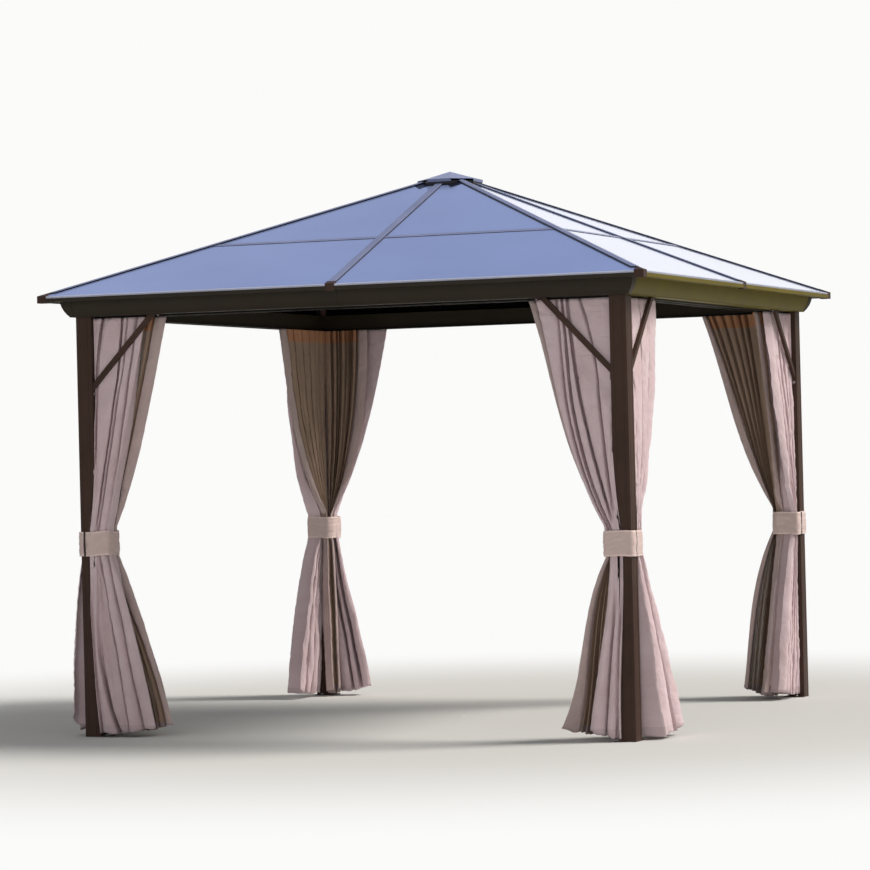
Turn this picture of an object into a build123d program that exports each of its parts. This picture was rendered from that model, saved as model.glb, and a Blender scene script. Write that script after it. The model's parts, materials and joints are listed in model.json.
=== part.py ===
from build123d import *
import math
import os

# Square garden gazebo with four posts, a pitched panel roof with a raised crown cap,
# and a curtain and a net on each side of every post, gathered by a band.
# Millimetres, +Z up, origin on the ground at the centre. The front faces -Y.

# Frame
post_spread = 2718.0          # across the outer faces of two posts
post_width = 78.0
post_wall = 2.5
post_corner = 2.0             # radius of the post's edges
post_groove_width = 3.0
post_groove_depth = 0.8
post_groove_spacing = 42.0
foot_thickness = 5.0
foot_flange = 26.0            # how far the foot plate shows beyond the post
foot_hole = 9.0
header_bottom = 1962.0
header_height = 74.0
header_inner_lip = 29.0       # header past the inner face of the post
header_wall = 2.5
cornice_bottom_out = 21.0     # past the outer face of the post
cornice_top_out = 52.0
cornice_bulge = 6.0
cornice_land = 4.0            # upright edge at the bottom of the cornice
header_joint = 1.0            # gap between the two lengths of a header
cover_length = 56.0
cover_thickness = 1.5
seat_gap = 0.2
mitre_gap = 0.4

# Roof
eave_overhang = 131.0         # past the outer face of the post
roof_pitch = 21.7             # degrees
eave_rise = 12.0              # underside of the panel at the eave, above the header
panel_thickness = 6.0
panel_edge_gap = 1.5
panel_joint_height = 0.41     # share of the roof's rise
eave_bar_depth = 28.0
eave_bar_drop = 4.0           # below the top of the header
eave_wall = 2.5
soffit_thickness = 3.0
soffit_seat = 66.0            # soffit lying on the header
rib_cap_width = 38.0
rib_cap_height = 6.0
rib_cap_gap = 0.4
rib_cap_fall = 2.0            # bevel along the edges of a rib's cap
rib_cap_bevel = 3.0
rib_web = 8.0
rib_tube_width = 28.0
mid_rib_depth = 32.0
hip_rib_depth = 40.0
end_cap_size = 45.0
end_cap_drop = 8.0
seat_length = 70.0
seat_wall = 4.0
joint_strip_width = 28.0
joint_strip_thickness = 2.0
edge_trim_width = 13.0
edge_trim_thickness = 1.5

# Crown
hub_apothem = 145.0
hub_floor = 3.0               # below the underside of the middle ribs
hub_collar = 11.5             # above the top of the middle ribs
hub_wall = 5.0
cap_apothem = 148.0
vent_gap = 10.0
cap_rise = 44.0
cap_thickness = 1.6
cap_lip = 14.0
cap_stem = 15.0               # half width of the stem that carries the cap
flashing_thickness = 1.5
flashing_front = 159.0        # from the centre to the flashing's lower edge
flashing_half = 55.0
flashing_tip_side = 82.0
flashing_tip_front = 196.0

# Knee braces
brace_drop = 345.0
brace_reach = 330.0
brace_width = 24.0
brace_depth = 16.0
brace_inset = 6.0             # back from the outer face of the post
brace_tab = 28.0
brace_tab_thickness = 4.0

# Curtains, nets, tracks and bands
track_width = 18.0
track_height = 8.0
track_slot = 5.0
track_wall = 1.5
curtain_inset = 49.0          # from the post's outer face to the curtain track
net_inset = 109.0
soft_gap = 0.3
curtain_start = 2.0           # past the inner face of the post
curtain_top_width = 390.0
curtain_knee_width = 312.0
curtain_waist_width = 57.5
curtain_calf_width = 165.0
curtain_foot_width = 330.0
curtain_foot_clear = 12.0
curtain_half = 24.0
curtain_waist_half = 39.5
curtain_foot_half = 59.0
curtain_foot_inset = 40.0
net_top_width = 410.0
net_waist_start = 34.0
net_waist_width = 57.5
net_waist_inset = 93.0
net_waist_half = 18.0
net_calf_width = 175.0
net_foot_width = 350.0
net_half = 25.0
net_foot_inset = 129.0
net_start = 60.0
waist_height = 902.0          # middle of the band on the left posts
waist_drop_right = 33.0       # the front right band hangs lower
waist_drop_back = 14.0        # and so does the back right one
calf_drop = 250.0             # from the waist down to where the fan is steeper
band_height = 120.0
band_margin = 10.0            # the cloth stays gathered this far above and below the band
band_thickness = 2.5
band_ease = 6.0               # cloth lies this thick in front of the post under the band
band_reach = 60.0             # past the inner face of the post
band_inner_reach = 37.0       # past it on the inner side, where a short diagonal crosses

# Sizes that follow
post_out = post_spread / 2
post_in = post_out - post_width
header_top = header_bottom + header_height
header_in = post_in - header_inner_lip
cornice_bottom = post_out + cornice_bottom_out
cornice_top = post_out + cornice_top_out
eave = post_out + eave_overhang
eave_height = header_top + eave_rise
eave_bar_bottom = header_top - eave_bar_drop
end_cap_bottom = header_top - end_cap_drop
slope = math.tan(math.radians(roof_pitch))
pitch_cos = math.cos(math.radians(roof_pitch))
pitch_sin = math.sin(math.radians(roof_pitch))
apex = eave_height + slope * eave
hip_slope = slope / math.sqrt(2)
hip_pitch = math.atan(hip_slope)
hip_fold = math.acos(math.sqrt((slope ** 2 + 2) / (2 * (1 + slope ** 2))))
cap_under = panel_thickness + rib_cap_gap
cap_over = cap_under + rib_cap_height
soffit_top = header_top + soffit_thickness
edge_back = (panel_thickness + edge_trim_thickness) * slope
field_edge = rib_cap_width / 2 + soft_gap
reach = 4 * eave              # larger than the whole gazebo

# Planes of the front side: its section (distance out, height) and its roof face
SECTION = Plane(origin=(0, 0, 0), x_dir=(0, -1, 0), z_dir=(-1, 0, 0))
ROOF = Plane(origin=(0, -eave, eave_height), x_dir=(1, 0, 0), z_dir=(0, -pitch_sin, pitch_cos))


def write(name, shape):
    os.makedirs("parts", exist_ok=True)
    export_step(shape, "parts/" + name + ".step")


def block(x0, x1, y0, y1, z0, z1):
    return Pos((x0 + x1) / 2, (y0 + y1) / 2, (z0 + z1) / 2) * Box(x1 - x0, y1 - y0, z1 - z0)


def outline(points, plane=Plane.XY):
    return plane * make_face(Polyline(*points, close=True))


def prism(points, z0, z1):
    return Pos(0, 0, z0) * extrude(outline(points), amount=z1 - z0)


def turned(shape, quarter):
    return Rot(0, 0, 90 * quarter) * shape


def mirrored(shape):
    return mirror(shape, about=Plane.YZ)


def solids(*shapes):
    found = []
    for shape in shapes:
        found += list(shape.solids())
    return Compound(children=found)


def front_quarter():
    """The part of the plan that belongs to the front side, cut by the two mitres."""
    apex_y = -mitre_gap / 2
    return prism([(0, apex_y), (-reach, apex_y - reach), (reach, apex_y - reach)], -reach, reach)


def side_bar(face, from_x, to_x):
    """A section of the front side, run along X and mitred at the corners."""
    bar = extrude(SECTION * face, amount=to_x - from_x)
    return Pos(to_x, 0, 0) * bar & front_quarter()


def roof_height(out, lift=0.0):
    """Height of the roof at a distance out, lifted at right angles to it."""
    return eave_height + slope * (eave - out) + lift / pitch_cos


def hip_height(out, lift=0.0):
    """Height of the hip line at a distance out along the diagonal."""
    return eave_height + hip_slope * (eave * math.sqrt(2) - out) + lift


def roof_envelope(lift):
    """The solid under the four roof faces, each lifted at right angles."""
    top = apex + lift / pitch_cos
    half = (top - header_bottom) / slope
    return pyramid([(-half, header_bottom), (half, header_bottom), (0, top)], 4)


def pyramid(gable, faces):
    """What gable roofs of one outline have in common, turned round the middle."""
    roof = extrude(outline(gable, Plane.XZ), amount=reach, both=True)
    shape = roof
    for index in range(1, faces // 2):
        shape &= Rot(0, 0, 360 / faces * index) * roof
    return shape


def octagon(apothem):
    return RegularPolygon(apothem, 8, major_radius=False, rotation=22.5)


def octagon_block(apothem, z0, z1):
    return Pos(0, 0, z0) * extrude(octagon(apothem), amount=z1 - z0)


# Posts and feet
def make_post():
    centre = post_out - post_width / 2
    wall = RectangleRounded(post_width, post_width, post_corner)
    wall -= Rectangle(post_width - 2 * post_wall, post_width - 2 * post_wall)
    for quarter in range(4):
        for side in (-1, 1):
            place = Pos(side * post_groove_spacing / 2, -post_width / 2)
            wall -= Rot(0, 0, 90 * quarter) * place * Rectangle(post_groove_width, 2 * post_groove_depth)
    tube = extrude(wall, amount=header_bottom - foot_thickness)
    return Pos(-centre, -centre, foot_thickness) * tube


def make_foot():
    inner = post_in - foot_flange
    plate = block(-post_out, -inner, -post_out, -inner, 0, foot_thickness)
    hole_out = post_in - foot_flange / 2
    along = post_out - post_width / 2
    for x, y in ((-hole_out, -along), (-along, -hole_out)):
        plate -= Pos(x, y, 0) * Cylinder(foot_hole / 2, 4 * foot_thickness)
    return plate


# Headers with their cornice, and the covers at the corners
def cornice_line(shift):
    """The curved face of the cornice from its land up to its top, moved out by shift."""
    low = (cornice_bottom + shift, header_bottom + cornice_land)
    high = (cornice_top + shift, header_top)
    length = math.dist(low, high)
    across = cornice_bulge / length
    middle = ((low[0] + high[0]) / 2 + across * (high[1] - low[1]),
              (low[1] + high[1]) / 2 - across * (high[0] - low[0]))
    return low, middle, high


def header_face():
    low, middle, high = cornice_line(0)
    edge = ThreePointArc(low, middle, high)
    rest = Polyline(high, (header_in, header_top), (header_in, header_bottom),
                    (cornice_bottom, header_bottom), low)
    face = make_face(edge + rest)
    box_low = (header_in + header_wall, header_bottom + header_wall)
    box_high = (post_out - header_wall, header_top - header_wall)
    face -= Pos((box_low[0] + box_high[0]) / 2, (box_low[1] + box_high[1]) / 2) * Rectangle(
        box_high[0] - box_low[0], box_high[1] - box_low[1])
    low, middle, high = cornice_line(-header_wall)
    inner_edge = ThreePointArc(low, middle, high)
    inner_rest = Polyline(high, (post_out, header_top), (post_out, header_bottom + header_wall),
                          (low[0], header_bottom + header_wall), low)
    hollow = make_face(inner_edge + inner_rest)
    hollow &= Pos(post_out, (header_bottom + header_top) / 2) * Rectangle(
        2 * cornice_top_out, header_height - 2 * header_wall)
    return face - hollow


def make_header():
    half = side_bar(header_face(), header_joint / 2, cornice_top)
    return solids(half, mirrored(half))


def make_cover():
    near = cornice_line(seat_gap)
    far = cornice_line(seat_gap + cover_thickness)
    face = make_face(ThreePointArc(*near) + Line(near[2], far[2])
                     + ThreePointArc(*far) + Line(far[0], near[0]))
    front = prism([(0, 0), (-reach, -reach), (reach, -reach)], 0, reach)
    leg = Pos(cover_length - cornice_top, 0, 0) * extrude(SECTION * face, amount=reach) & front
    return leg + diagonal(leg)


# Roof ribs
def hip_point(along, lift):
    """A point of the hip section: along a roof face from the fold, and lifted from it."""
    return (along * math.cos(hip_fold) + lift * math.sin(hip_fold),
            lift * math.cos(hip_fold) - along * math.sin(hip_fold))


def both_sides(points):
    return points + [(-x, y) for x, y in reversed(points)]


def mid_rib_face():
    half = [(rib_tube_width / 2, -mid_rib_depth), (rib_tube_width / 2, 0), (rib_web / 2, 0),
            (rib_web / 2, cap_under), (rib_cap_width / 2, cap_under),
            (rib_cap_width / 2, cap_over - rib_cap_fall), (rib_cap_width / 2 - rib_cap_bevel, cap_over)]
    face = make_face(Polyline(*both_sides(half), close=True))
    hollow = Rectangle(rib_tube_width - 2 * eave_wall, mid_rib_depth - 2 * eave_wall)
    return face - Pos(0, -mid_rib_depth / 2) * hollow


def hip_rib_face():
    fall = math.tan(hip_fold)
    tube = rib_tube_width / 2
    web = rib_web / 2
    edge = rib_cap_width / 2
    half = [(tube, -hip_rib_depth), (tube, -tube * fall), (web, -web * fall),
            (web, cap_under / math.cos(hip_fold) - web * fall),
            hip_point(edge, cap_under), hip_point(edge, cap_over - rib_cap_fall),
            hip_point(edge - rib_cap_bevel, cap_over), (0, cap_over / math.cos(hip_fold))]
    points = half + [(-x, y) for x, y in reversed(half[:-1])]
    face = make_face(Polyline(*points, close=True))
    top = -tube * fall - eave_wall
    bottom = eave_wall - hip_rib_depth
    return face - Pos(0, (top + bottom) / 2) * Rectangle(rib_tube_width - 2 * eave_wall, top - bottom)


def make_mid_rib():
    base = Plane(origin=(0, -eave, eave_height), x_dir=(-1, 0, 0), z_dir=(0, pitch_cos, pitch_sin))
    rib = extrude(base * mid_rib_face(), amount=eave / pitch_cos, both=True)
    return rib & block(-reach, reach, eave_bar_depth - eave, -hub_apothem, soffit_top, reach)


def make_hip_rib():
    flat = math.cos(hip_pitch) / math.sqrt(2)
    base = Plane(origin=(-eave, -eave, eave_height), x_dir=(-1, 1, 0),
                 z_dir=(flat, flat, math.sin(hip_pitch)))
    rib = extrude(base * hip_rib_face(), amount=eave / flat, both=True)
    rib &= Rot(0, 0, 45) * block(-reach, -hub_apothem, -reach, reach, 0, reach)
    corner = eave - end_cap_size
    rib &= block(-corner, 0, -corner, 0, soffit_top, reach)
    return rib


def make_corner_cap():
    corner = eave - end_cap_size
    cap = block(-eave, -corner, -eave, -corner, end_cap_bottom, reach / 2)
    return cap & roof_envelope(cap_over)


def make_mid_cap():
    half = end_cap_size / 2
    cap = block(-half, half, -eave, eave_bar_depth - eave, end_cap_bottom, reach / 2)
    return cap & roof_envelope(cap_over)


# Brackets that carry the ribs on the headers
def bracket(near, height, width):
    """A folded box on the header's top, open at its sides, up to a rib's sloping underside."""
    far = near + seat_length
    low = header_top + seat_wall
    near_in = near + seat_wall
    far_in = far - seat_wall
    face = outline([(near, header_top), (far, header_top), (far, height(far)), (near, height(near))])
    hole = outline([(near_in, low), (far_in, low), (far_in, height(far_in) - seat_wall),
                    (near_in, height(near_in) - seat_wall)])
    return Pos(width / 2, 0, 0) * extrude(SECTION * (face - hole), amount=width)


def make_mid_bracket():
    def under(out):
        return roof_height(out, -mid_rib_depth)

    return bracket(header_in + seat_wall, under, rib_tube_width)


def make_hip_bracket():
    def under(out):
        return hip_height(out, -hip_rib_depth / math.cos(hip_pitch))

    return Rot(0, 0, -45) * bracket((header_in + seat_wall) * math.sqrt(2), under, rib_tube_width)


# Eave bars with their soffit
def make_eave():
    inner = eave - eave_bar_depth
    seat = cornice_top - soffit_seat
    face = outline([
        (seat, header_top), (inner, header_top), (inner, eave_bar_bottom), (eave, eave_bar_bottom),
        (eave, eave_height), (inner, roof_height(inner)), (inner, roof_height(inner) - eave_wall),
        (eave - eave_wall, eave_height - eave_wall), (eave - eave_wall, eave_bar_bottom + eave_wall),
        (inner + eave_wall, eave_bar_bottom + eave_wall), (inner + eave_wall, soffit_top),
        (seat, soffit_top)])
    half = side_bar(face, soft_gap / 2, eave)
    cap_half = end_cap_size / 2
    half -= block(-cap_half, cap_half, -eave, eave_bar_depth - eave, end_cap_bottom, reach / 2)
    corner = eave - end_cap_size
    half -= block(corner, eave, -eave, -corner, end_cap_bottom, reach / 2)
    return solids(half, mirrored(half))


# Roof panels and what lies on them
def field(mid_edge, hip_edge, low, high):
    """Half of a roof face, right of its middle, between two distances up the slope."""
    inset = hip_edge * math.hypot(1, pitch_cos)

    def hip_x(up):
        return eave - up * pitch_cos - inset

    return [(mid_edge, low), (hip_x(low), low), (hip_x(high), high), (mid_edge, high)]


def on_roof(points, lift, thickness):
    return extrude(ROOF.offset(lift) * make_face(Polyline(*points, close=True)), amount=thickness)


def clear_of_caps(shape):
    corner = eave - end_cap_size - soft_gap
    shape -= block(corner, eave, -eave, -corner, 0, reach)
    half = end_cap_size / 2 + soft_gap
    shape -= block(-half, half, -eave, eave_bar_depth + soft_gap - eave, 0, reach)
    return shape


def slope_length(out):
    return (eave - out) / pitch_cos


hub_bottom = roof_height(hub_apothem, -mid_rib_depth) - hub_floor
hub_top = roof_height(hub_apothem, cap_over) + hub_collar
cap_rim = hub_top + vent_gap
cap_peak = cap_rim + cap_rise
joint_out = eave * (1 - panel_joint_height)
joint_up = slope_length(joint_out)
crown_up = slope_length(hub_apothem * math.cos(math.radians(45)) - rib_cap_width)


def make_panels():
    edge = rib_web / 2 + panel_edge_gap
    web = joint_strip_thickness / 2
    start = edge_back + edge_trim_thickness + seat_gap
    lower = on_roof(field(edge, edge, start, joint_up - web), 0, panel_thickness)
    lower = clear_of_caps(lower)
    upper = on_roof(field(edge, edge, joint_up + web, crown_up), 0, panel_thickness)
    upper -= octagon_block(hub_apothem + soft_gap, 0, reach / 2)
    return solids(lower, mirrored(lower), upper, mirrored(upper))


def make_joint_strip():
    web = joint_strip_thickness / 2
    half = joint_strip_width / 2
    top = on_roof(field(field_edge, field_edge, joint_up - half, joint_up + half), panel_thickness,
                  joint_strip_thickness)
    low = on_roof(field(field_edge, field_edge, joint_up - half, joint_up + half), -joint_strip_thickness,
                  joint_strip_thickness)
    middle = on_roof(field(field_edge, field_edge, joint_up - web, joint_up + web), 0, panel_thickness)
    return top + middle + low


def make_edge_trim():
    front = edge_back + edge_trim_thickness
    top = on_roof(field(field_edge, field_edge, edge_back, edge_trim_width), panel_thickness,
                  edge_trim_thickness)
    lip = on_roof(field(field_edge, field_edge, edge_back, front), 0, panel_thickness)
    return clear_of_caps(top + lip)


def make_flashing():
    tip = (flashing_tip_side, slope_length(flashing_tip_front))
    side = flashing_tip_front
    points = [(0, slope_length(flashing_front)), (flashing_half, slope_length(flashing_front)), tip,
              (side, slope_length(hub_apothem / 2)), (0, slope_length(hub_apothem / 2))]
    star = on_roof(points, panel_thickness, flashing_thickness)
    area = on_roof(field(field_edge, field_edge, slope_length(2 * flashing_tip_front), crown_up),
                   panel_thickness, flashing_thickness)
    plate = star & area
    return plate - octagon_block(hub_apothem + soft_gap, 0, reach / 2)


# Crown
def make_hub():
    cup = octagon_block(hub_apothem, hub_bottom, hub_top)
    cup -= octagon_block(hub_apothem - hub_wall, hub_bottom + hub_wall, hub_top + hub_wall)
    return cup


def cap_face(drop):
    return pyramid([(-cap_apothem, cap_rim - drop), (cap_apothem, cap_rim - drop), (0, cap_peak - drop)], 8)


def rim_band(depth):
    band = octagon_block(cap_apothem, cap_rim - depth, cap_rim)
    return band - octagon_block(cap_apothem - cap_thickness, 0, cap_peak)


def make_crown_cap():
    shell = cap_face(0) - cap_face(cap_thickness)
    wedge = cap_apothem * math.tan(math.radians(22.5))
    lipped = block(-wedge, wedge, -reach, reach, 0, reach) + block(-reach, reach, -wedge, wedge, 0, reach)
    stem = octagon_block(cap_stem, hub_bottom + hub_wall, cap_peak)
    stem &= cap_face(cap_thickness / 2) + octagon_block(cap_stem, hub_bottom, cap_rim)
    return shell + rim_band(cap_thickness) + (rim_band(cap_lip) & lipped) + stem


# Knee braces
def make_brace():
    """The front brace of the left front post."""
    length = math.hypot(brace_reach, brace_drop)
    rise = brace_width * length / brace_reach
    run = brace_width * length / brace_drop
    foot_x = -post_in
    bar = [(foot_x, header_bottom - brace_drop), (foot_x + brace_reach, header_bottom),
           (foot_x + brace_reach - run, header_bottom), (foot_x, header_bottom - brace_drop + rise)]
    low = header_bottom - brace_drop
    low_tab = [(foot_x, low - brace_tab), (foot_x + brace_tab_thickness, low - brace_tab),
               (foot_x + brace_tab_thickness, low + rise), (foot_x, low + rise)]
    far = foot_x + brace_reach
    high_tab = [(far - run, header_bottom), (far + brace_tab, header_bottom),
                (far + brace_tab, header_bottom - brace_tab_thickness),
                (far - run, header_bottom - brace_tab_thickness)]
    face = outline(bar) + outline(low_tab) + outline(high_tab)
    back = Plane(origin=(0, brace_depth + brace_inset - post_out, 0), x_dir=(1, 0, 0), z_dir=(0, -1, 0))
    return extrude(back * face, amount=brace_depth)


def diagonal(shape):
    """The same piece on the other side of the left front post."""
    return mirror(shape, about=Plane(origin=(0, 0, 0), z_dir=(1, -1, 0)))


# Tracks, curtains, nets and bands
def make_track(inset, half_length):
    centre = post_out - inset
    face = Pos(centre, header_bottom - track_height / 2) * Rectangle(track_width, track_height)
    face -= Pos(centre, header_bottom - track_height / 2) * Rectangle(
        track_width - 2 * track_wall, track_height - 2 * track_wall)
    face -= Pos(centre, header_bottom - track_height) * Rectangle(track_slot, 2 * track_wall)
    return Pos(half_length, 0, 0) * extrude(SECTION * face, amount=2 * half_length)


def drape(levels):
    """A closed solid through flat levels: height, start and end past the post, inset, half depth.

    It is the outline seen from the front, cut to the outline seen from the side."""
    front = [(start - post_in, height) for height, start, end, inset, half in levels]
    front += [(end - post_in, height) for height, start, end, inset, half in reversed(levels)]
    side = [(post_out - inset + half, height) for height, start, end, inset, half in levels]
    side += [(post_out - inset - half, height) for height, start, end, inset, half in reversed(levels)]
    across = extrude(Plane.XZ * make_face(Polyline(*front, close=True)), amount=reach, both=True)
    deep = extrude(SECTION * make_face(Polyline(*side, close=True)), amount=reach, both=True)
    return across & deep


def make_curtain(waist):
    top = header_bottom - track_height - soft_gap
    start = curtain_start
    knee = header_bottom - brace_drop - brace_tab
    foot_start = curtain_foot_half + curtain_foot_inset - post_width + start
    waist_inset = curtain_waist_half - band_ease
    gather = band_height / 2 + band_margin
    calf = waist - calf_drop
    fall = (waist - gather - calf) / (waist - gather - curtain_foot_clear)
    return drape([
        (curtain_foot_clear, foot_start, curtain_foot_width, curtain_foot_inset, curtain_foot_half),
        (calf, start + fall * (foot_start - start), curtain_calf_width,
         waist_inset + fall * (curtain_foot_inset - waist_inset),
         curtain_waist_half + fall * (curtain_foot_half - curtain_waist_half)),
        (waist - gather, start, curtain_waist_width, waist_inset, curtain_waist_half),
        (waist + gather, start, curtain_waist_width, waist_inset, curtain_waist_half),
        (knee, start, curtain_knee_width, curtain_inset, curtain_half),
        (top, start, curtain_top_width, curtain_inset, curtain_half)])


def make_net(waist):
    top = header_bottom - track_height - soft_gap
    gather = band_height / 2 + band_margin
    calf = waist - calf_drop
    fall = (waist - gather - calf) / (waist - gather - curtain_foot_clear)
    foot_start = net_foot_inset + net_half - post_width + soft_gap + curtain_start
    return drape([
        (curtain_foot_clear, foot_start, net_foot_width, net_foot_inset, net_half),
        (calf, net_waist_start + fall * (foot_start - net_waist_start), net_calf_width,
         net_waist_inset + fall * (net_foot_inset - net_waist_inset),
         net_waist_half + fall * (net_half - net_waist_half)),
        (waist - gather, net_waist_start, net_waist_width, net_waist_inset, net_waist_half),
        (waist + gather, net_waist_start, net_waist_width, net_waist_inset, net_waist_half),
        (top, net_start, net_top_width, net_inset, net_half)])


def band_loop(clear):
    """Plan of the band round the post and both gathered bundles, moved out by clear."""
    out = post_out + band_ease + soft_gap + clear
    end = post_in - band_reach - clear
    inner = post_in - band_inner_reach - clear
    points = [(-out, -out), (-end, -out), (-end, -inner), (-inner, -end), (-out, -end)]
    return make_face(Polyline(*points, close=True))


def make_band(waist):
    ring = band_loop(band_thickness) - band_loop(0)
    return Pos(0, 0, waist - band_height / 2) * extrude(ring, amount=band_height)


corners = ("front_left", "front_right", "back_right", "back_left")
sides = ("front", "right", "back", "left")
waists = (waist_height, waist_height - waist_drop_right, waist_height - waist_drop_back, waist_height)

post = make_post()
foot = make_foot()
brace = make_brace()
hip_rib = make_hip_rib()
for index, name in enumerate(corners):
    write("post_" + name, turned(post, index))
    write("hip_rib_" + name, turned(hip_rib, index))
    write("knee_braces_" + name, turned(solids(brace, diagonal(brace)), index))
    curtain = make_curtain(waists[index])
    net = make_net(waists[index])
    write("curtains_" + name, turned(solids(curtain, diagonal(curtain)), index))
    write("nets_" + name, turned(solids(net, diagonal(net)), index))

header = make_header()
eave_bar = make_eave()
mid_rib = make_mid_rib()
panels = make_panels()
for index, name in enumerate(sides):
    write("header_" + name, turned(header, index))
    write("eave_bar_" + name, turned(eave_bar, index))
    write("mid_rib_" + name, turned(mid_rib, index))
    write("roof_panels_" + name, turned(panels, index))

strip = make_joint_strip()
trim = make_edge_trim()
flashing = make_flashing()
corner_cap = make_corner_cap()
mid_cap = make_mid_cap()
cover = make_cover()
hip_bracket = make_hip_bracket()
mid_bracket = make_mid_bracket()
curtain_track = make_track(curtain_inset, post_in - soft_gap)
net_track = make_track(net_inset, header_in - soft_gap)
write("post_feet", solids(*[turned(foot, q) for q in range(4)]))
write("tie_bands", solids(*[turned(make_band(waists[q]), q) for q in range(4)]))
write("cornice_corner_covers", solids(*[turned(cover, q) for q in range(4)]))
write("rib_end_caps", solids(*[turned(solids(corner_cap, mid_cap), q) for q in range(4)]))
write("rib_brackets", solids(*[turned(solids(hip_bracket, mid_bracket), q) for q in range(4)]))
write("panel_joint_strips", solids(*[turned(solids(strip, mirrored(strip)), q) for q in range(4)]))
write("panel_edge_trims", solids(*[turned(solids(trim, mirrored(trim)), q) for q in range(4)]))
write("crown_flashing", solids(*[turned(solids(flashing, mirrored(flashing)), q) for q in range(4)]))
write("curtain_tracks", solids(*[turned(solids(curtain_track, net_track), q) for q in range(4)]))
write("crown_hub", make_hub())
write("crown_cap", make_crown_cap())
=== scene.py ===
import json
import math

import bpy
import numpy as np
from bpy.props import FloatProperty, FloatVectorProperty, IntProperty, PointerProperty
from mathutils import Matrix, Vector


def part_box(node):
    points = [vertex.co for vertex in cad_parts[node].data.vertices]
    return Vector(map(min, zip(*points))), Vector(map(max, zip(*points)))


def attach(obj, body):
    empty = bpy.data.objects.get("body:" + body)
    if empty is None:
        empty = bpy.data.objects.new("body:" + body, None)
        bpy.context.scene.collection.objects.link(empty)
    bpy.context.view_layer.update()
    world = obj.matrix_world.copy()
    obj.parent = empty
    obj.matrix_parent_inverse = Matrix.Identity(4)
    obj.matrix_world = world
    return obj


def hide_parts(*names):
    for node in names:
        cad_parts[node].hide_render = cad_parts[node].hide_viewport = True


bl_info = {
    "name": "Garden gazebo dressing",
    "version": (1, 0, 0),
    "blender": (4, 5, 0),
    "location": "View3D > Sidebar > Gazebo",
    "description": "Curtains, nets, tie bands, seals, bolts and finishes for a square metal gazebo",
    "category": "Object",
}

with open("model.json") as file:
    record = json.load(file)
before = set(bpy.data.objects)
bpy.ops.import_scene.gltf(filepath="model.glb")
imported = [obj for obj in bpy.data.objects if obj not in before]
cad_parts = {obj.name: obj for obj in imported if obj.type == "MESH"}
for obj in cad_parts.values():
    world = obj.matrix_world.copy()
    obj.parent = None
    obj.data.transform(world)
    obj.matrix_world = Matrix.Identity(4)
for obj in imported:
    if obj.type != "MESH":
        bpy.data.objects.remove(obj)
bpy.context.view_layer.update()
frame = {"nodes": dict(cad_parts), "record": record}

CORNERS = ("front_left", "front_right", "back_right", "back_left")
SIDES = ("front", "right", "back", "left")

# Places read from the frame, in metres
POST_IN = -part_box("post_front_left")[1].x
POST_OUT = -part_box("post_front_left")[0].x
HEADER_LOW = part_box("header_front")[0].z
CLOTH_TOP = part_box("curtains_front_left")[1].z
CLOTH_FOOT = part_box("curtains_front_left")[0].z
BAND_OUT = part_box("tie_bands")[1].x
BRACE_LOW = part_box("knee_braces_front_left")[0].z
BRACE_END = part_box("knee_braces_front_left")[1].x
BRACE_INSET, BRACE_DEPTH = 0.006, 0.016    # the brace's own, which its box doesn't show
BRACE_IN = POST_OUT - BRACE_INSET - BRACE_DEPTH
FOOT_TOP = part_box("post_feet")[1].z
RIB_INNER = -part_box("mid_rib_front")[1].y
EAVE = -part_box("eave_bar_front")[0].y
CAP_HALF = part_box("mid_rib_front")[1].x


def linear(code):
    """The linear colour of an sRGB hex value."""
    parts = [int(code[at:at + 2], 16) / 255 for at in (1, 3, 5)]
    return [p / 12.92 if p <= 0.04045 else ((p + 0.055) / 1.055) ** 2.4 for p in parts]


def colour(label, code):
    return FloatVectorProperty(name=label, description=label + ", linear", default=linear(code),
                               size=3, subtype="COLOR", min=0, max=1)


def length(label, text, value):
    return FloatProperty(name=label, description=text, default=value, subtype="DISTANCE", unit="LENGTH")


# Sizes and colours that a user would change
class GazeboCurtainSizes(bpy.types.PropertyGroup):
    cut_width: length("Cut width", "Width of one curtain before it was gathered", 0.68)
    inset: length("Inset", "From the post's outer face to the curtain track", 0.049)
    half: length("Half depth", "Half the depth of the folds between track and band", 0.0225)
    waist_inset: length("Waist inset", "From the post's outer face to the middle of the bundle", 0.0335)
    waist_half: length("Waist half depth", "Half the depth of the bundle at the band", 0.038)
    foot_inset: length("Foot inset", "From the post's outer face to the middle of the hem", 0.040)
    foot_half: length("Foot half depth", "Half the depth of the folds at the hem", 0.055)
    hem: length("Hem", "Height of the bottom hem", 0.045)
    fabric: length("Fabric", "Thickness of the cloth", 0.0012)


class GazeboNetSizes(bpy.types.PropertyGroup):
    cut_width: length("Cut width", "Width of one net before it was gathered", 0.78)
    inset: length("Inset", "From the post's outer face to the net track", 0.109)
    half: length("Half depth", "Half the depth of the folds", 0.023)
    waist_inset: length("Waist inset", "From the post's outer face to the middle of the bundle", 0.093)
    waist_half: length("Waist half depth", "Half the depth of the bundle at the band", 0.017)
    foot_inset: length("Foot inset", "From the post's outer face to the middle of the hem", 0.129)
    foot_half: length("Foot half depth", "Half the depth of the folds at the hem", 0.023)
    folds: IntProperty(name="Folds", description="Folds across one net", default=7, min=3, max=14)
    border: length("Border", "Width of the cloth border down the free edge", 0.073)
    heading: length("Heading", "Height of the cloth heading along the top", 0.065)
    hem: length("Hem", "Height of the cloth hem", 0.050)
    fabric: length("Fabric", "Thickness of the border's cloth", 0.0014)
    mesh: length("Mesh", "Spacing of the net's threads as drawn, several times the real one", 0.004)


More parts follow.
